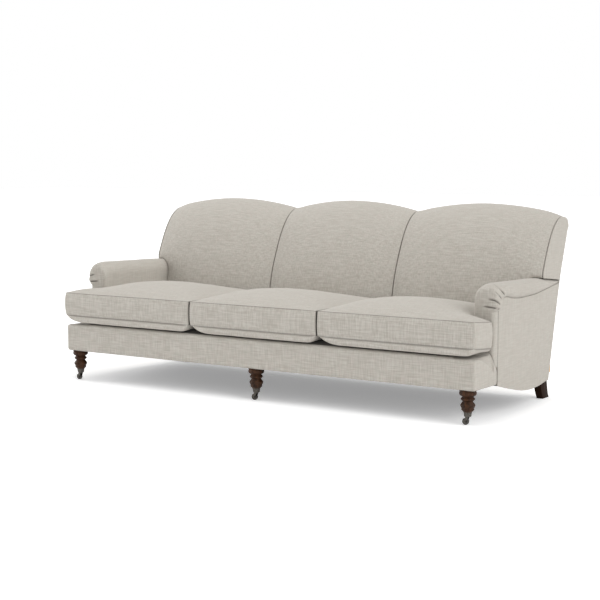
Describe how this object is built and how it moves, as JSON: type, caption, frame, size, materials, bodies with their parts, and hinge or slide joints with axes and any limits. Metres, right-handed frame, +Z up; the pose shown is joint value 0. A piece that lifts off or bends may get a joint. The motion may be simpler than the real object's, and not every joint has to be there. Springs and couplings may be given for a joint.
{
  "type": "roll arm sofa",
  "caption": "Upholstered roll arm sofa: hump-topped back in panels, low pleated scroll arms, loose eared seat cushions, turned front legs on small casters, raked rear legs.",
  "frame": {"origin": "on the floor, at the centre of the sofa's width and depth", "axes": "+X to the right as seen by someone facing the sofa, +Y towards the back, +Z up; the front faces -Y"},
  "size_m": [2.316, 0.98, 0.897],
  "materials": {
    "linen": "matt woven linen, light greige",
    "walnut": "dark walnut stain, satin",
    "beech": "planed beech, unfinished",
    "aged_brass": "aged bronze tone, satin",
    "dark_metal": "dark bronze tone, polished",
    "steel": "zinc-plated",
    "webbing": "dark elastic webbing",
    "black_cloth": "thin black lining cloth",
    "felt": "compressed felt pad",
    "tape": "tan cotton tape"
  },
  "bodies": {
    "frame": {"front_rail": "beech", "side_rail_left": "beech", "side_rail_right": "beech", "back_rail": "beech", "seat_stretcher_left": "beech", "seat_stretcher_right": "beech", "corner_block_front_left": "beech", "corner_block_front_right": "beech", "corner_block_rear_left": "beech", "corner_block_rear_right": "beech", "back_post_left": "beech", "back_post_right": "beech", "back_upright_left": "beech", "back_upright_right": "beech", "back_lower_rail": "beech", "back_top_rail": "beech", "arm_post_left": "beech", "arm_post_right": "beech", "arm_rail_left": "beech", "arm_rail_right": "beech", "seat_webbing": "webbing", "back_webbing": "webbing", "seat_deck": "felt", "front_border": "linen", "arm_pad_left": "linen", "arm_pad_right": "linen", "outside_arm_left": "linen", "outside_arm_right": "linen", "back_section_left": "linen", "back_section_centre": "linen", "back_section_right": "linen", "back_border_left": "linen", "back_border_right": "linen", "outside_back": "linen", "dust_cover": "black_cloth", "rear_leg_left": "walnut", "rear_leg_right": "walnut", "front_leg_left": "walnut", "front_leg_centre": "walnut", "front_leg_right": "walnut", "ferrule_left": "aged_brass", "ferrule_centre": "aged_brass", "ferrule_right": "aged_brass", "leg_bolt_left": "steel", "leg_bolt_centre": "steel", "leg_bolt_right": "steel", "seam_tab": "tape"},
    "caster_left": {"caster_horn_left": "aged_brass", "caster_axle_left": "steel"},
    "wheel_left": {"caster_wheel_left": "dark_metal"},
    "caster_centre": {"caster_horn_centre": "aged_brass", "caster_axle_centre": "steel"},
    "wheel_centre": {"caster_wheel_centre": "dark_metal"},
    "caster_right": {"caster_horn_right": "aged_brass", "caster_axle_right": "steel"},
    "wheel_right": {"caster_wheel_right": "dark_metal"},
    "cushion_left": {"seat_cushion_left": "linen"},
    "cushion_centre": {"seat_cushion_centre": "linen"},
    "cushion_right": {"seat_cushion_right": "linen"}
  },
  "joints": [
    {"name": "caster_swivel_left", "type": "hinge", "parent": "frame", "child": "caster_left", "pos_m": [-1.09, -0.442, 0.043], "axis": [0, 0, 1], "continuous": true},
    {"name": "wheel_spin_left", "type": "hinge", "parent": "caster_left", "child": "wheel_left", "pos_m": [-1.099, -0.442, 0.015], "axis": [0, 1, 0], "continuous": true},
    {"name": "caster_swivel_centre", "type": "hinge", "parent": "frame", "child": "caster_centre", "pos_m": [0, -0.442, 0.043], "axis": [0, 0, 1], "continuous": true},
    {"name": "wheel_spin_centre", "type": "hinge", "parent": "caster_centre", "child": "wheel_centre", "pos_m": [-0.009, -0.442, 0.015], "axis": [0, 1, 0], "continuous": true},
    {"name": "caster_swivel_right", "type": "hinge", "parent": "frame", "child": "caster_right", "pos_m": [1.09, -0.442, 0.043], "axis": [0, 0, 1], "continuous": true},
    {"name": "wheel_spin_right", "type": "hinge", "parent": "caster_right", "child": "wheel_right", "pos_m": [1.081, -0.442, 0.015], "axis": [0, 1, 0], "continuous": true},
    {"name": "cushion_lift_left", "type": "slide", "parent": "frame", "child": "cushion_left", "axis": [0, 0, 1], "range_m": [0, 0.2]},
    {"name": "cushion_lift_centre", "type": "slide", "parent": "frame", "child": "cushion_centre", "axis": [0, 0, 1], "range_m": [0, 0.2]},
    {"name": "cushion_lift_right", "type": "slide", "parent": "frame", "child": "cushion_right", "axis": [0, 0, 1], "range_m": [0, 0.2]}
  ]
}
